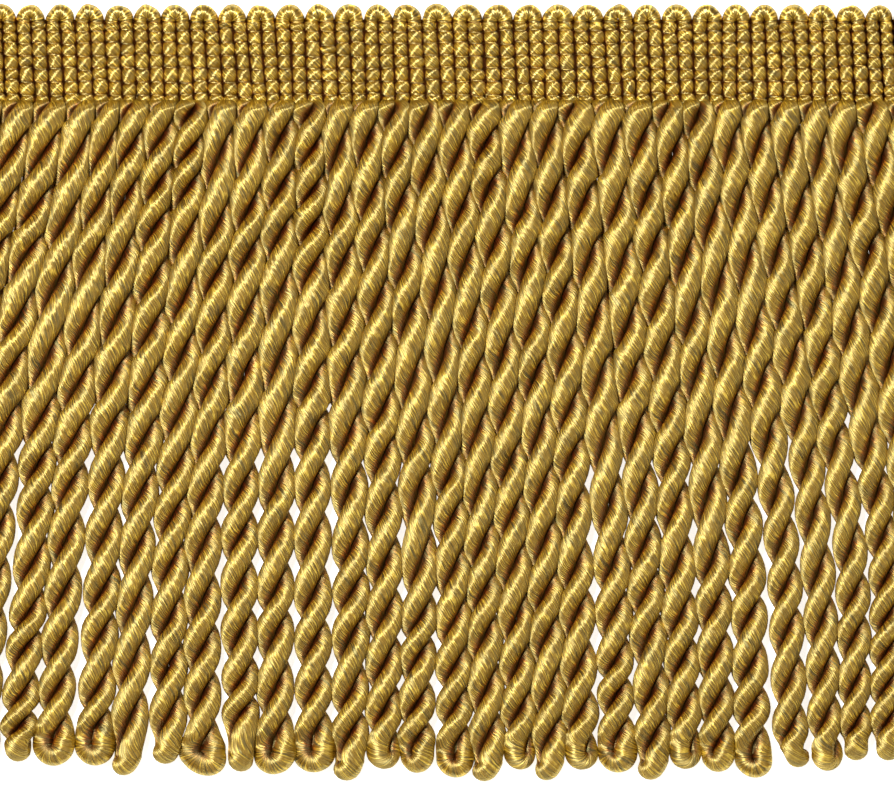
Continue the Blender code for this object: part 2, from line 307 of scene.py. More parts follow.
# Noise patterns: single filaments and bundles, beside the yarn's own counts, and blotches. The shades
# go from the darkest at SHADE_START of the noise to the brightest at SHADE_END.
LINE_ALONG = 0.4
LINE_COUNT = 1.2
BUNDLE_ALONG = 0.5
BUNDLE_FILAMENTS = 5.0
BUNDLE_WEIGHT = 0.25
BLOTCH_ALONG = 1.5
BLOTCH_COUNT = 2.0
BLOTCH_WEIGHT = 0.2
BLOTCH_START = 0.3
BLOTCH_END = 0.7
SHADE_START = 0.58
SHADE_END = 0.92
NOISE_ROUGHNESS = 0.55

# Shine: drawn out across the filaments, tinted, and more metallic from DEEP_START to DEEP_END of the
# shade depth, which darkens the reflections there as painted shade.
RELIEF = 0.00025
ANISOTROPY = 0.86
SHINE_TURN = 0.25
SHINE_METAL = 0.25
DEEP_START = 0.5
DEEP_END = 0.75
YARN_IOR = 2.3
SPECULAR_LEVEL = 1.0
SHINE_TINT = (1.0, 0.90, 0.36, 1.0)

# Stage, in metres and watts: each light's name, place, size and power.
FLOOR_SIZE = 3.0
FLOOR_LEVEL = -0.0002
FLOOR_COLOR = (0.9, 0.9, 0.9, 1.0)
FLOOR_ROUGHNESS = 0.9
FLOOR_SPECULAR = 0.1
FLOOR_GLOW = 0.8
WORLD_STRENGTH = 0.17
WHITE = (1.0, 1.0, 1.0, 1.0)
LIGHTS = (
    ("key", (-0.36, 0.36, 1.25), 0.3, 30.2),
    ("fill", (0.6, -0.5, 1.1), 0.8, 3.5),
)

# The sockets of a Mix node that blends colours.
MIX_SHARE, MIX_FIRST, MIX_SECOND, MIX_RESULT = 0, 6, 7, 2


def smooth_step(value, start, end):
    """0 up to the start, 1 from the end on, and a smooth rise between the two."""
    share = np.clip((value - start) / (end - start), 0.0, 1.0)
    return share * share * (3.0 - 2.0 * share)


def to_metres(points):
    """Rows of (x, y down, height) in photograph pixels as places in the part."""
    points = np.asarray(points, dtype=float)
    return np.stack(
        ((points[..., 0] - ORIGIN_X_PX) * PX, (ORIGIN_Y_PX - points[..., 1]) * PX, points[..., 2] * PX),
        axis=-1)


def there_and_back(first, loop, second):
    """What a yarn has down its first leg, round its loop and back up its second leg."""
    return np.concatenate((first, loop, second[::-1]))


def tube_quads(start, count, sides):
    """The corners' numbers of each quad between the rings of a tube."""
    first = start + np.arange(count)[:, None] * sides
    side = np.arange(sides)[None, :]
    after = (side + 1) % sides
    quads = (first[:-1] + side, first[:-1] + after, first[1:] + after, first[1:] + side)
    return np.stack(quads, axis=-1).reshape(-1, 4)


def tube_mesh(name, tubes, material):
    """One object from tubes, each a grid of rings with its yarn map and its depth of painted shade."""
    corners, quads, maps, shade_depths, caps = [], [], [], [], []
    start = 0
    for rings, grid, inner in tubes:
        count, sides = rings.shape[:2]
        quads.append(tube_quads(start, count, sides))
        faces = np.stack((grid[:-1, :-1], grid[:-1, 1:], grid[1:, 1:], grid[1:, :-1]), axis=2)
        maps.append(faces.reshape(-1, 2))
        corners.append(to_metres(rings).reshape(-1, 3))
        shade_depths.append(inner.reshape(-1))
        last = start + (count - 1) * sides
        caps.append(list(range(start + sides - 1, start - 1, -1)))
        caps.append(list(range(last, last + sides)))
        start += count * sides
    corners, quads = np.concatenate(corners), np.concatenate(quads)
    mesh = bpy.data.meshes.new(name)
    mesh.from_pydata(corners.tolist(), [], quads.tolist() + caps)
    yarn_map = mesh.uv_layers.new(name="yarn")
    flat_map = np.zeros((len(mesh.loops), 2))
    flat_map[:len(quads) * 4] = np.concatenate(maps)
    yarn_map.data.foreach_set("uv", flat_map.ravel())
    # Each point's depth of painted shade, read by the yarn materials.
    depth = mesh.attributes.new("painted_shade_depth", "FLOAT", "POINT")
    depth.data.foreach_set("value", np.concatenate(shade_depths))
    mesh.shade_smooth()
    mesh.materials.append(material)
    item = bpy.data.objects.new(name, mesh)
    bpy.context.scene.collection.objects.link(item)
    return item


def yarn_grid(centres, angles, twist, wrapped, facing, radius, place):
    """The yarn map of one tube: its lines are the filaments.

    They run along the yarn with its twist where wrapped is 0 and straight round it, as on a loop,
    where it is 1. The angle that faces the viewer keeps its lines evenly spaced between the two.
    """
    steps = np.linalg.norm(np.diff(centres, axis=0), axis=1)
    share = (wrapped[1:] + wrapped[:-1]) / 2.0
    along = np.concatenate(([0.0], np.cumsum((1.0 - share) * steps)))
    turned = (1.0 - share) * np.diff(twist) + share * steps / radius
    across = np.concatenate(([0.0], np.cumsum(turned)))
    offset = angles[None, :] - facing[:, None]
    lengthwise = (along[:, None] - wrapped[:, None] * offset * radius) / MAP_LENGTH + place
    crosswise = ((1.0 - wrapped[:, None]) * offset + facing[:, None] + across[:, None]) / (2.0 * math.pi)
    return np.stack((lengthwise, crosswise), axis=-1)


def ring_points(centres, outward, binormal, radial, wide, inner_radial, inner_power, sides):
    """Rings of a yarn round its centre line: an ellipse whose inner half is flatter.

    Returns the rings and the angle of each point, which starts and ends on the inner side.
    """
    angles = -math.pi + 2.0 * math.pi * np.arange(sides + 1) / sides
    cosine = np.cos(angles[:-1])[None, :]
    outer = radial[:, None] * np.maximum(cosine, 0.0)
    inner = inner_radial[:, None] * np.maximum(-cosine, 0.0) ** inner_power
    reach = (outer - inner)[..., None]
    side = (wide[:, None] * np.sin(angles[:-1])[None, :])[..., None]
    rings = centres[:, None, :] + outward[:, None, :] * reach + binormal[:, None, :] * side
    return rings, angles


def swollen(rings, centres, rings_per_knot, amount):
    """The rings with a slow random swelling along and round the yarn."""
    count, sides = rings.shape[:2]
    knots = max(int(count / rings_per_knot), SWELL_KNOTS_LEAST)
    rough = RANDOM.normal(0.0, amount, (knots, 5))
    at = np.linspace(0.0, knots - 1.0, count)
    low = np.clip(np.floor(at).astype(int), 0, knots - 2)
    share = smooth_step(at - low, 0.0, 1.0)[:, None]
    values = rough[low] * (1.0 - share) + rough[low + 1] * share
    angles = 2.0 * math.pi * np.arange(sides) / sides
    around = values[:, 1:2] * np.cos(angles) + values[:, 2:3] * np.sin(angles)
    around += values[:, 3:4] * np.cos(2.0 * angles) + values[:, 4:5] * np.sin(2.0 * angles)
    swell = 1.0 + values[:, :1] + SWELL_AROUND * around
    return centres[:, None, :] + (rings - centres[:, None, :]) * swell[..., None]


def monotone_curve(xs, ys, at):
    """A smooth rising curve through the points (xs, ys), read at the places asked for."""
    xs, ys, at = (np.asarray(part, dtype=float) for part in (xs, ys, at))
    steps = np.diff(xs)
    slopes = np.diff(ys) / steps
    between = 2.0 * slopes[:-1] * slopes[1:] / (slopes[:-1] + slopes[1:])
    tangents = np.concatenate(([slopes[0]], between, [slopes[-1]]))
    index = np.clip(np.searchsorted(xs, at, side="right") - 1, 0, len(steps) - 1)
    step = steps[index]
    share = (at - xs[index]) / step
    low, high = ys[index], ys[index + 1]
    rise_low, rise_high = tangents[index] * step, tangents[index + 1] * step
    curve = (2 * share ** 3 - 3 * share ** 2 + 1) * low
    curve += (share ** 3 - 2 * share ** 2 + share) * rise_low
    curve += (3 * share ** 2 - 2 * share ** 3) * high
    curve += (share ** 3 - share ** 2) * rise_high
    curve = np.where((share < 0.0) & (index == 0), low + tangents[0] * (at - xs[0]), curve)
    return np.where(share > 1.0, high + tangents[-1] * (at - xs[-1]), curve)


def sway_at(cord, y_px):
    to_mid = cord["mid"] * smooth_step(y_px, TOP_PX, MID_PX)
    to_low = cord["mid"] + (cord["low"] - cord["mid"]) * smooth_step(y_px, MID_PX, LOW_PX)
    to_end = cord["low"] * (1.0 - smooth_step(y_px, LOW_PX, END_PX))
    return np.where(y_px < MID_PX, to_mid, np.where(y_px < LOW_PX, to_low, to_end))


def axis_at(cord, y_px):
    """The cord's axis: a fan that bows out a little, with the cord's own sway."""
    share = (y_px - TOP_PX) / (END_PX - TOP_PX)
    bow = FAN_BOW * np.sin(math.pi * np.clip(share, 0.0, 1.0))
    return cord["x_top"] + (cord["x_end"] - cord["x_top"]) * (share + bow) + sway_at(cord, y_px)


def size_at(cord, y_px):
    """A cord's thickness beside the plain one's."""
    fuller = 1.0 - smooth_step(y_px, TOP_SIZE_START_PX, TOP_SIZE_END_PX)
    return cord["size"] * (1.0 + (TOP_SIZE - 1.0) * fuller)


def loop_sizes(cord):
    """The loop's centre line: its half width, its depth and the height where it starts."""
    half = max(cord["loop_width"] / 2.0 - PLY_RADIAL, PLY_OFFSET * LOOP_WIDTH_LEAST)
    depth = half * LOOP_DEPTH_SHARE
    return half, depth, cord["tip"] - PLY_RADIAL - depth


def turn_at(cord, y_px):
    """Half turns of the cord down to a height: whole at each groove, easing to the loop's turn."""
    grooves = cord["grooves"]
    last = len(grooves) - 1
    loop_start = loop_sizes(cord)[2]
    turns = monotone_curve(grooves, np.arange(len(grooves)), y_px)
    rate = 1.0 / (grooves[-1] - grooves[-2])
    span = max(loop_start - grooves[-1], 1.0)
    share = np.clip((y_px - grooves[-1]) / span, 0.0, 1.0)
    rest = (share ** 3 - 2 * share ** 2 + share) * rate * span
    rest += (3 * share ** 2 - 2 * share ** 3) * cord["loop_turn"]
    return np.where(y_px > grooves[-1], last + rest, turns)


def natural_half_width(cord, y_px):
    """How far the two plies reach to each side of the axis, seen from above."""
    turn = math.pi * turn_at(cord, y_px)
    reach = np.sqrt((PLY_RADIAL * np.cos(turn)) ** 2 + (PLY_WIDE * np.sin(turn)) ** 2)
    return (PLY_OFFSET * np.abs(np.cos(turn)) + reach) * size_at(cord, y_px)


def squeezed(cords, index, points, y_px):
    """Presses a cord's sides to its neighbours' and returns also how near each point is to one."""
    cord = cords[index]
    axis = axis_at(cord, y_px)
    offset = points[..., 0] - axis[:, None]
    own = natural_half_width(cord, y_px)
    result = offset.copy()
    contact = np.zeros_like(offset)
    closing = NEIGHBOUR_REACH * (1.0 - smooth_step(y_px, REACH_START_PX, REACH_END_PX))
    for side in (-1, 1):
        other = index + side
        if not 0 <= other < len(cords):
            continue
        room = np.abs(axis_at(cords[other], y_px) - axis)
        both = own + natural_half_width(cords[other], y_px) - NEIGHBOUR_OVERLAP
        excess = np.maximum(both - room, -closing) / 2.0
        toward = np.clip(offset * side / own[:, None], 0.0, PRESS_LIMIT)
        result -= side * excess[:, None] * toward ** 2
        contact += smooth_step(toward, CONTACT_START, 1.0)
    points[..., 0] = axis[:, None] + result
    return points, contact


def cord_levels(loop_start):
    """The heights of the rings down to the loop, closest together where the yarn swells."""
    top = np.arange(ROOT_PX, GROWTH_END_PX, TOP_RING_STEP)
    count = int((loop_start - GROWTH_END_PX) / RING_STEP)
    return np.concatenate((top, np.linspace(GROWTH_END_PX, loop_start, count)))


def cord_legs(y_px, axis, turn, offset, growth):
    """The centre lines of a cord's two plies, each from the rib on its own side."""
    legs = []
    lane_side = math.cos(turn[np.searchsorted(y_px, LANE_PX)])
    for sign in (1.0, -1.0):
        helix = axis + sign * offset
        lane = RIB_PITCH_PX / 2.0 if lane_side * sign > 0.0 else -RIB_PITCH_PX / 2.0
        rib = np.stack((axis[:, 0] + lane, y_px, np.full(len(y_px), RIB_CENTRE_HEIGHT)), axis=-1)
        legs.append(rib + (helix - rib) * growth[:, None])
    return legs


def cord_path(cord):
    """Centre line of a cord's one yarn: down as the first ply, round the loop, up as the second.

    Returns it with the yarn's directions and sizes, by name and for each ring.
    """
    half, depth, loop_start = loop_sizes(cord)
    y_px = cord_levels(loop_start)
    turn = math.pi * turn_at(cord, y_px)
    level = np.zeros(len(y_px))
    outward = np.stack((np.cos(turn), level, np.sin(turn)), axis=-1)
    binormal = np.stack((-np.sin(turn), level, np.cos(turn)), axis=-1)
    size = size_at(cord, y_px)
    opening = smooth_step(y_px, loop_start - LOOP_OPENING, loop_start)
    radius = (PLY_OFFSET + (half - PLY_OFFSET) * opening) * size
    loop_height = abs(math.sin(turn[-1])) * half
    loop_height += math.hypot(PLY_RADIAL * math.sin(turn[-1]), PLY_WIDE * math.cos(turn[-1]))
    lowering = smooth_step(y_px, loop_start - LOOP_LOWERING, loop_start)
    height = AXIS_HEIGHT * size + (loop_height - AXIS_HEIGHT) * lowering
    axis = np.stack((axis_at(cord, y_px), y_px, height), axis=-1)
    growth = np.clip((y_px - GROWTH_START_PX) / (GROWTH_END_PX - GROWTH_START_PX), 0.0, 1.0)
    growth = np.sqrt(1.0 - (1.0 - growth) ** 2)
    legs = cord_legs(y_px, axis, turn, radius[:, None] * outward, growth)

    rings = max(int(math.pi * half / LOOP_RING_STEP), LOOP_RINGS_LEAST)
    sweep = np.linspace(0.0, math.pi, rings + 2)[1:-1]
    sideways = np.cos(sweep)[:, None] * outward[-1]
    downward = np.sin(sweep)[:, None] * DOWNWARD
    loop = axis[-1] + half * sideways + depth * downward
    loop[:, 0] += cord["lean"] * np.sin(sweep)
    on_loop = np.ones(rings)

    leg_twist = np.abs(np.diff(turn)) * FILAMENT_TURN
    loop_twist = np.full(rings + 1, LOOP_FILAMENT_RATE * math.pi * half / (rings + 1))
    twist = np.cumsum(there_and_back(leg_twist, loop_twist, leg_twist))
    from_loop = loop_start - y_px
    wrapped = 1.0 - smooth_step(there_and_back(from_loop, 0.0 * on_loop, from_loop), 0.0, LOOP_WRAP_REACH)
    return {
        "centres": there_and_back(legs[0], loop, legs[1]),
        "outward": there_and_back(outward, sideways + downward, -outward),
        "binormal": there_and_back(binormal, np.tile(binormal[-1], (rings, 1)), binormal),
        "growth": there_and_back(growth, on_loop, growth),
        "radius": there_and_back(radius, half * on_loop, radius),
        "size": there_and_back(size, size[-1] * on_loop, size),
        "twist": np.concatenate(([0.0], twist)),
        "wrapped": wrapped * max(abs(math.cos(turn[-1])), EDGE_ON_WRAP),
    }


def cord_tube(cords, index):
    """One cord's yarn, pressed to its neighbours: its rings, its yarn map and its depths of painted shade.
    """
    cord = cords[index]
    path = cord_path(cord)
    centres, growth = path["centres"], path["growth"]
    radial = ROOT_RADIUS + (PLY_RADIAL * path["size"] - ROOT_RADIUS) * growth
    wide = ROOT_RADIUS + (PLY_WIDE * path["size"] - ROOT_RADIUS) * growth
    inner = ROOT_RADIUS + (path["radius"] - ROOT_RADIUS) * growth + PLY_OVERLAP
    rings, angles = ring_points(
        centres, path["outward"], path["binormal"], radial, wide, inner, PLY_INNER_POWER, CORD_SIDES)
    rings = swollen(rings, centres, CORD_SWELL_RINGS, CORD_SWELL)
    rings, contact = squeezed(cords, index, rings, np.minimum(centres[:, 1], cord["tip"] - PRESS_END))
    contact *= 1.0 - smooth_step(
        centres[:, 1:2], cord["tip"] - CONTACT_FADE_START, cord["tip"] - CONTACT_FADE_END)
    rings[..., 2] = np.maximum(rings[..., 2], 0.0) * CORD_FLATNESS

    middle = len(centres) // 2
    facing = [math.atan2(path["binormal"][at, 2], path["outward"][at, 2])
              for at in (middle - FACING_RINGS, middle + FACING_RINGS)]
    facing = np.where(np.arange(len(centres)) < middle, facing[0], facing[1])
    grid = yarn_grid(
        centres, angles, path["twist"], path["wrapped"], facing, PLY_RADIAL, CORD_MAP_STEP * index)
    # The depth of painted shade: the inner side of each ply, in its groove, and the strip along a neighbour.
    inner_side_shade = (1.0 - np.cos(angles[:-1]))[None, :] / 2.0
    depth = np.maximum(inner_side_shade, contact * CONTACT_DEPTH) * growth[:, None]
    return rings, grid, depth


def build_cords(cords, material):
    for start in range(0, len(cords), CORDS_PER_PIECE):
        tubes = [cord_tube(cords, index) for index in range(start, min(start + CORDS_PER_PIECE, len(cords)))]
        piece = tube_mesh("cords_%d" % (start // CORDS_PER_PIECE + 1), tubes, material)
        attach(piece, "root")
        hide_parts("fringe")


def rib_lines():
    """Where each rib starts under its scallop and where it meets the cords."""
    edges = SCALLOP_EDGES_PX
    heads = [left + share * (right - left) for left, right in zip(edges, edges[1:]) for share in RIB_SHARES]
    middles = [(left + right) / 2.0 for left, right in zip(RIB_EDGES_PX, RIB_EDGES_PX[1:])]
    reach = (HEADING_LOW_PX - SCALLOP_BASE_PX) / (RIB_EDGES_LEVEL_PX - SCALLOP_BASE_PX)
    return heads, [head + (middle - head) * reach for head, middle in zip(heads, middles)]


def rib_x(head, foot, y_px):
    upward = (HEADING_LOW_PX - y_px) / (HEADING_LOW_PX - SCALLOP_BASE_PX)
    return foot + (head - foot) * np.clip(upward, 0.0, 1.0)


def pinch_at(y_px, rows):
    """How far a rib is drawn in: fully at each warp row and not at all halfway between two."""
    ends = np.concatenate(([2.0 * rows[0] - rows[1]], rows, [2.0 * rows[-1] - rows[-2]]))
    index = np.clip(np.searchsorted(ends, y_px, side="right") - 1, 0, len(ends) - 2)
    share = (y_px - ends[index]) / (ends[index + 1] - ends[index])
    return np.abs(2.0 * share - 1.0) ** PINCH_POWER


def bead_levels(rows):
    """The heights of a rib's rings, from its foot up, closer together where a warp row draws it in."""
    levels = []
    for row, after in zip(rows[:-1], rows[1:]):
        levels += [row + step for step in BEAD_RINGS] + [(row + after) / 2.0]
        levels += [after - step for step in BEAD_RINGS[:0:-1]]
    levels += [rows[-1] + step for step in BEAD_RINGS] + [RIB_END_PX]
    return np.array([level for level in levels if level > SCALLOP_BASE_PX][::-1] + [SCALLOP_BASE_PX])


def scallop_arc(left_head, half):
    """The yarn's centre line over a scallop and its outward directions."""
    sweep = np.linspace(0.0, math.pi, SCALLOP_STEPS)[1:-1]
    sideways = -np.cos(sweep)[:, None] * RIGHTWARD
    upward = -np.sin(sweep)[:, None] * DOWNWARD
    middle = np.array((left_head + half, SCALLOP_BASE_PX, RIB_CENTRE_HEIGHT))
    return middle + half * sideways + SCALLOP_RISE_PX * upward, sideways + upward


def rib_pair_tube(heads, feet, rows, order):
    """The heading's yarn over one scallop: up one rib, round the scallop and down the next.

    Heads and feet are those of four ribs: the two of this yarn between their neighbours.
    """
    legs, outs, outer, inner, pulls = [], [], [], [], []
    for leg, beside, away, leg_rows in ((1, 0, -RIGHTWARD, rows[0]), (2, 3, RIGHTWARD, rows[1])):
        y_up = bead_levels(leg_rows)
        lines = [rib_x(head, foot, y_up) for head, foot in zip(heads, feet)]
        legs.append(np.stack((lines[leg], y_up, np.full(len(y_up), RIB_CENTRE_HEIGHT)), axis=-1))
        outs.append(np.tile(away, (len(y_up), 1)))
        outer.append(np.abs(lines[leg] - lines[beside]) / 2.0 + RIB_OVERLAP)
        inner.append((lines[2] - lines[1]) / 2.0 + RIB_OVERLAP)
        pulls.append(pinch_at(y_up, leg_rows))
    half = (heads[2] - heads[1]) / 2.0
    loop, loop_out = scallop_arc(heads[1], half)
    on_loop = np.ones(len(loop))
    centres = there_and_back(legs[0], loop, legs[1])
    outward = there_and_back(outs[0], loop_out, outs[1])
    binormal = np.tile(UPRIGHT, (len(centres), 1))
    pull = there_and_back(pulls[0], 0.0 * on_loop, pulls[1])
    sides = 1.0 - PINCH_SIDE_DEPTH * pull
    outer_side = there_and_back(outer[0], np.linspace(outer[0][-1], outer[1][-1], len(loop)), outer[1])
    inner_side = there_and_back(inner[0], (half + RIB_OVERLAP) * on_loop, inner[1])
    high = RIB_RADIUS * (1.0 - PINCH_DEPTH * pull)
    rings, angles = ring_points(
        centres, outward, binormal, outer_side * sides, high, inner_side * sides, 1.0, RIB_SIDES)
    rings = swollen(rings, centres, RIB_SWELL_RINGS, RIB_SWELL)
    rings[..., 2] = np.maximum(rings[..., 2], 0.0)

    lengths = np.concatenate(([0.0], np.cumsum(np.linalg.norm(np.diff(centres, axis=0), axis=1))))
    wrapped = 1.0 - smooth_step(centres[:, 1], SCALLOP_BASE_PX, SCALLOP_BASE_PX + SCALLOP_WRAP_REACH)
    facing = np.full(len(centres), math.pi / 2.0)
    grid = yarn_grid(
        centres, angles, RIB_FILAMENT_RATE * lengths, wrapped, facing, RIB_RADIUS, RIB_MAP_STEP * order)
    # Painted shade at each warp row and down the rib's sides, as the shade depth of its points.
    shade_start = RIB_SIDE_START + (RIB_CORNER_START - RIB_SIDE_START) * pull[:, None]
    side = smooth_step(np.abs(np.cos(angles[:-1]))[None, :], shade_start, 1.0)
    return rings, grid, np.maximum(PINCH_SHADE * pull[:, None], RIB_SIDE_DEPTH * side)


def warp_tube(heads, feet, crossings, over_even, order):
    """A thin warp end along one row of crossings: over every other rib and under the rest."""
    ribs = len(heads)
    steps = ribs * WARP_STEPS_PER_RIB
    at = np.linspace(-0.5, ribs - 0.5, steps)
    index = np.arange(ribs)
    row = np.interp(at, index, crossings)
    beyond = (at - np.clip(at, 0, ribs - 1)) * RIB_PITCH_PX
    head, foot = np.interp(at, index, heads) + beyond, np.interp(at, index, feet) + beyond
    wave = np.cos(math.pi * at) * (1.0 if over_even else -1.0)
    crest = RIB_RADIUS * (1.0 - PINCH_DEPTH) + WARP_HALF_HEIGHT * WARP_SINK
    height = RIB_CENTRE_HEIGHT + crest * np.sign(wave) * np.abs(wave) ** WARP_WAVE_POWER
    height = np.maximum(height, WARP_HALF_HEIGHT)
    centres = np.stack((rib_x(head, foot, row), row, height), axis=-1)
    tangent = np.gradient(centres, axis=0)
    tangent /= np.linalg.norm(tangent, axis=1)[:, None]
    across = np.tile(DOWNWARD, (steps, 1))
    outward = np.cross(tangent, across)
    outward /= np.linalg.norm(outward, axis=1)[:, None]
    size = np.full(steps, WARP_HALF_HEIGHT)
    wide = np.full(steps, WARP_HALF_WIDTH)
    rings, angles = ring_points(centres, outward, across, size, wide, size, 1.0, WARP_SIDES)
    plain = np.zeros(steps)
    grid = yarn_grid(centres, angles, plain, plain, plain, WARP_HALF_WIDTH, THREAD_MAP_STEP * order)
    # Painted shade: the thread is painted fully dark where it runs low, under and between the ribs.
    low = (height < RIB_CENTRE_HEIGHT + WARP_SHADE_RISE)[:, None] * 1.0
    return rings, grid, np.broadcast_to(low, rings.shape[:2])


def shade_sheet_tube(heads, feet):
    """A dark sheet of painted shade that closes the gaps between the ribs, halfway through their thickness.
    """
    y_px = np.linspace(RIB_END_PX - SHADE_SHEET_INSET, SCALLOP_BASE_PX - SHADE_SHEET_INSET, SHADE_SHEET_RINGS)
    left, right = rib_x(heads[0], feet[0], y_px), rib_x(heads[-1], feet[-1], y_px)
    centres = np.stack(((left + right) / 2.0, y_px, np.full(SHADE_SHEET_RINGS, RIB_CENTRE_HEIGHT)), axis=-1)
    upright = np.tile(UPRIGHT, (SHADE_SHEET_RINGS, 1))
    across = np.tile(RIGHTWARD, (SHADE_SHEET_RINGS, 1))
    thick = np.full(SHADE_SHEET_RINGS, SHADE_SHEET_HALF_THICKNESS)
    half = (right - left) / 2.0
    rings, angles = ring_points(centres, upright, across, thick, half, thick, 1.0, SHADE_SHEET_SIDES)
    return rings, np.zeros((SHADE_SHEET_RINGS, len(angles), 2)), np.ones(rings.shape[:2])


def build_heading(yarn, thread, gap_shade):
    heads, feet = rib_lines()
    rows = [np.array(WARP_ROWS_PX) + RANDOM.normal(0.0, ROW_SCATTER, len(WARP_ROWS_PX)) for _ in heads]
    wide_heads = [heads[0] - RIB_PITCH_PX] + heads + [heads[-1] + RIB_PITCH_PX]
    wide_feet = [feet[0] - RIB_PITCH_PX] + feet + [feet[-1] + RIB_PITCH_PX]
    pairs = []
    for pair in range(len(heads) // 2):
        ribs = slice(2 * pair, 2 * pair + 4)
        pairs.append(rib_pair_tube(wide_heads[ribs], wide_feet[ribs], rows[2 * pair:2 * pair + 2], pair))
    weft = tube_mesh("heading_ribs", pairs, yarn)
    # A dark sheet of painted shade closes the gaps between the ribs.
    shade_sheet = tube_mesh("heading_shade_sheet", [shade_sheet_tube(heads, feet)], gap_shade)
    threads = []
    for crossings in np.transpose(rows):
        for over_even in (True, False):
            threads.append(warp_tube(heads, feet, crossings, over_even, len(threads)))
    warp = tube_mesh("heading_threads", threads, thread)
    for piece in (shade_sheet, weft, warp):
        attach(piece, "root")
        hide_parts("heading")


def fill_socket(tree, socket, value):
    """Links a socket to another one, or gives it a plain value."""
    if isinstance(value, bpy.types.NodeSocket):
        tree.links.new(value, socket)
    else:
        socket.default_value = value


def add_node(tree, kind, settings=None, inputs=None):
    """A node with its settings, and its input sockets by name."""
    node = tree.nodes.new(kind)
    for name, value in (settings or {}).items():
        setattr(node, name, value)
    for name, value in (inputs or {}).items():
        fill_socket(tree, node.inputs[name], value)
    return node


def yarn_noise(tree, yarn_map, along, around, detail=0.0):
    """Noise drawn out along the filaments: cells along the yarn's length and round it."""
    stretch = add_node(tree, "ShaderNodeVectorMath", {"operation": "MULTIPLY"})
    fill_socket(tree, stretch.inputs[0], yarn_map)
    fill_socket(tree, stretch.inputs[1], (along, around, 0.0))
    noise = add_node(tree, "ShaderNodeTexNoise", {"noise_dimensions": "2D"}, {
        "Vector": stretch.outputs[0], "Scale": 1.0, "Detail": detail, "Roughness": NOISE_ROUGHNESS})
    return noise.outputs["Fac"]


def ramp(tree, value, stops):
    node = add_node(tree, "ShaderNodeValToRGB", inputs={"Fac": value})
    elements = node.color_ramp.elements
    while len(elements) < len(stops):
        elements.new(0.5)
    for element, (place, color) in zip(elements, stops):
        element.position = place
        element.color = (*color, 1.0)
    return node.outputs["Color"]


def mix_colors(tree, share, first, second, blend):
    node = add_node(tree, "ShaderNodeMix", {"data_type": "RGBA", "blend_type": blend})
    fill_socket(tree, node.inputs[MIX_SHARE], share)
    fill_socket(tree, node.inputs[MIX_FIRST], first)
    fill_socket(tree, node.inputs[MIX_SECOND], second)
    return node.outputs[MIX_RESULT]


def blend_share(tree, value, low, high, low_share=0.0, high_share=1.0):
    """A smooth step of a value, from one share to another."""
    node = add_node(tree, "ShaderNodeMapRange", {"interpolation_type": "SMOOTHSTEP"}, {
        "Value": value, "From Min": low, "From Max": high, "To Min": low_share, "To Max": high_share})
    return node.outputs["Result"]


def weighted_sum(tree, first, second, weight):
    node = add_node(tree, "ShaderNodeMath", {"operation": "MULTIPLY_ADD"})
    for socket, value in zip(node.inputs, (second, weight, first)):
        fill_socket(tree, socket, value)
    return node.outputs[0]


def plain_material(name, color, roughness, specular):
    material = bpy.data.materials.new(name)
    material.use_nodes = True
    shader = material.node_tree.nodes["Principled BSDF"]
    shader.inputs["Base Color"].default_value = color
    shader.inputs["Roughness"].default_value = roughness
    shader.inputs["Specular IOR Level"].default_value = specular
    return material, shader


def yarn_color(tree, yarn, yarn_map, depth, threads):
    """The filaments' shades, in blotches, with single dark and bright ones and painted shade in deep
    grooves.
    """
    shade = blend_share(tree, threads, SHADE_START, SHADE_END)
    color = ramp(tree, shade, ((0.0, yarn["deep"]), (0.5, yarn["mid"]), (1.0, yarn["bright"])))
    blotch = yarn_noise(tree, yarn_map, BLOTCH_ALONG, BLOTCH_COUNT, detail=1.0)
    blotches = ramp(tree, blotch, ((BLOTCH_START, yarn["deep"]), (BLOTCH_END, yarn["bright"])))
    color = mix_colors(tree, BLOTCH_WEIGHT, color, blotches, "SOFT_LIGHT")
    line = yarn_noise(tree, yarn_map, yarn["along"] * LINE_ALONG, yarn["filaments"] * LINE_COUNT)
    line_share = blend_share(tree, depth, LINE_SIDE_START, LINE_SIDE_END, LINE_TOP_SHARE, 1.0)
    color = mix_colors(tree, line_share, color, ramp(tree, line, LINE_STOPS), "MULTIPLY")
    # The groove stops paint shade, dark and red, by each point's depth of painted shade.
    return mix_colors(tree, 1.0, color, ramp(tree, depth, GROOVE_SHADE_STOPS), "MULTIPLY")


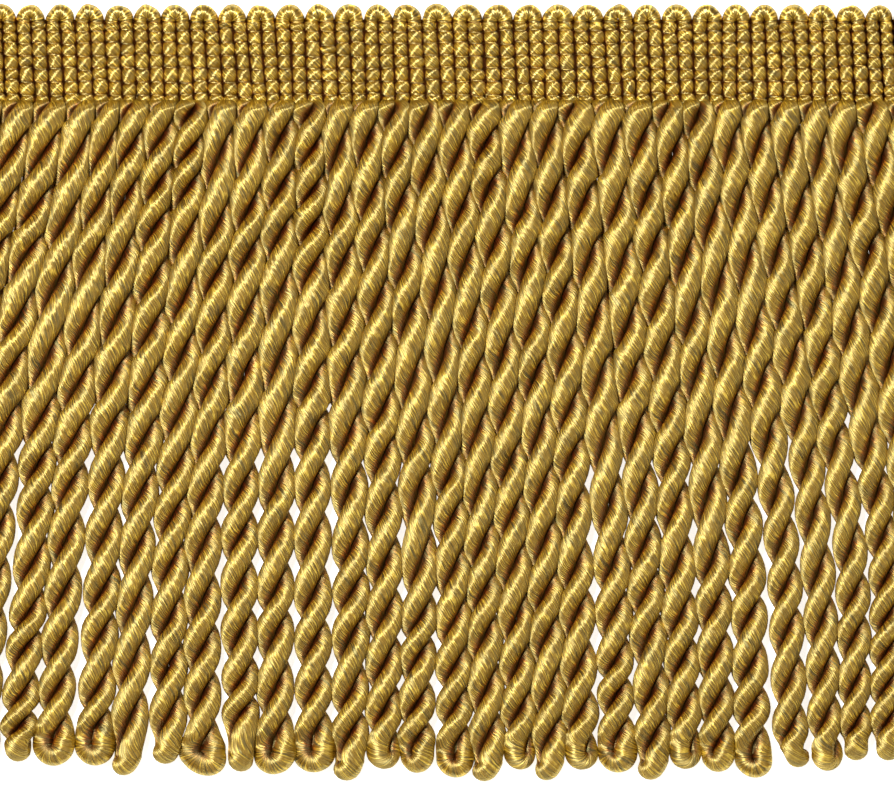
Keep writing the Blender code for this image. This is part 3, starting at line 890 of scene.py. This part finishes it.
def satin_material(name, yarn):
    """Satin rayon: fine filaments along the yarn map, a drawn-out shine and painted shade, darker and
    redder, in the grooves.
    """
    material, shader = plain_material(name, WHITE, yarn["roughness"], SPECULAR_LEVEL)
    tree = material.node_tree
    yarn_map = add_node(tree, "ShaderNodeUVMap", {"uv_map": "yarn"}).outputs["UV"]
    depth = add_node(tree, "ShaderNodeAttribute", {"attribute_name": "painted_shade_depth"}).outputs["Fac"]
    fine = yarn_noise(tree, yarn_map, yarn["along"], yarn["filaments"])
    bundle = yarn_noise(
        tree, yarn_map, yarn["along"] * BUNDLE_ALONG, yarn["filaments"] / BUNDLE_FILAMENTS, detail=1.0)
    threads = weighted_sum(tree, fine, bundle, BUNDLE_WEIGHT)
    relief = add_node(tree, "ShaderNodeBump", inputs={
        "Strength": yarn["bump"], "Distance": RELIEF, "Height": threads})
    tangent = add_node(tree, "ShaderNodeTangent", {"direction_type": "UV_MAP", "uv_map": "yarn"})
    finish = {
        "Base Color": yarn_color(tree, yarn, yarn_map, depth, threads),
        "Normal": relief.outputs["Normal"],
        "Tangent": tangent.outputs["Tangent"],
        "Anisotropic": ANISOTROPY,
        "Anisotropic Rotation": SHINE_TURN,
        "IOR": YARN_IOR,
        # Deep in the shade the shine turns more metallic, which darkens the reflections there: painted
        # shade.
        "Metallic": blend_share(tree, depth, DEEP_START, DEEP_END, SHINE_METAL, yarn["shade_metal"]),
        "Specular Tint": SHINE_TINT,
    }
    for socket, value in finish.items():
        fill_socket(tree, shader.inputs[socket], value)
    return material


def add_light(name, place, size, power):
    """A square soft light that faces the middle of the part."""
    lamp = bpy.data.lights.new(name, "AREA")
    lamp.shape = "SQUARE"
    lamp.size = size
    lamp.energy = power
    item = bpy.data.objects.new(name, lamp)
    item.location = place
    bpy.context.scene.collection.objects.link(item)
    aim = -np.array(place)
    item.rotation_euler = (
        math.atan2(math.hypot(aim[0], aim[1]), -aim[2]), 0.0, math.atan2(aim[0], -aim[1]) + math.pi)


def build_stage():
    bpy.ops.mesh.primitive_plane_add(size=FLOOR_SIZE, location=(0.0, 0.0, FLOOR_LEVEL))
    floor = bpy.context.active_object
    floor.name = "floor"
    material, shader = plain_material("floor_white", FLOOR_COLOR, FLOOR_ROUGHNESS, FLOOR_SPECULAR)
    shader.inputs["Emission Color"].default_value = WHITE
    shader.inputs["Emission Strength"].default_value = FLOOR_GLOW
    floor.data.materials.append(material)
    world = bpy.data.worlds.new("studio")
    bpy.context.scene.world = world
    world.use_nodes = True
    background = world.node_tree.nodes["Background"]
    background.inputs["Color"].default_value = WHITE
    background.inputs["Strength"].default_value = WORLD_STRENGTH
    for name, place, size, power in LIGHTS:
        add_light(name, place, size, power)


def build_camera():
    camera = bpy.data.cameras.new("camera")
    camera.type = "PERSP"
    camera.sensor_fit = "HORIZONTAL"
    camera.sensor_width = SENSOR_MM
    camera.lens = SENSOR_MM * CAMERA_HEIGHT / (PHOTO_WIDTH_PX * PX)
    camera.clip_start = CLIP_START
    camera.clip_end = CLIP_END
    item = bpy.data.objects.new("camera", camera)
    middle = to_metres((PHOTO_WIDTH_PX / 2.0, PHOTO_HEIGHT_PX / 2.0, AXIS_HEIGHT))
    item.location = (middle[0], middle[1], middle[2] + CAMERA_HEIGHT)
    bpy.context.scene.collection.objects.link(item)
    bpy.context.scene.camera = item
    bpy.context.scene.view_settings.view_transform = "Standard"


def main():
    build_camera()
    build_stage()
    cords = [dict(zip(CORD_COLUMNS, row), grooves=grooves) for row, grooves in zip(CORD_ROWS, GROOVES)]
    build_cords(cords, satin_material("cord_yarn_satin", CORD_YARN))
    yarn = satin_material("heading_yarn_satin", HEADING_YARN)
    thread = satin_material("heading_thread_satin", WARP_THREAD)
    gap_shade, _ = plain_material("heading_gap_shade", GAP_SHADE_COLOR, GAP_SHADE_ROUGHNESS, GAP_SHADE_SPECULAR)
    build_heading(yarn, thread, gap_shade)


main()
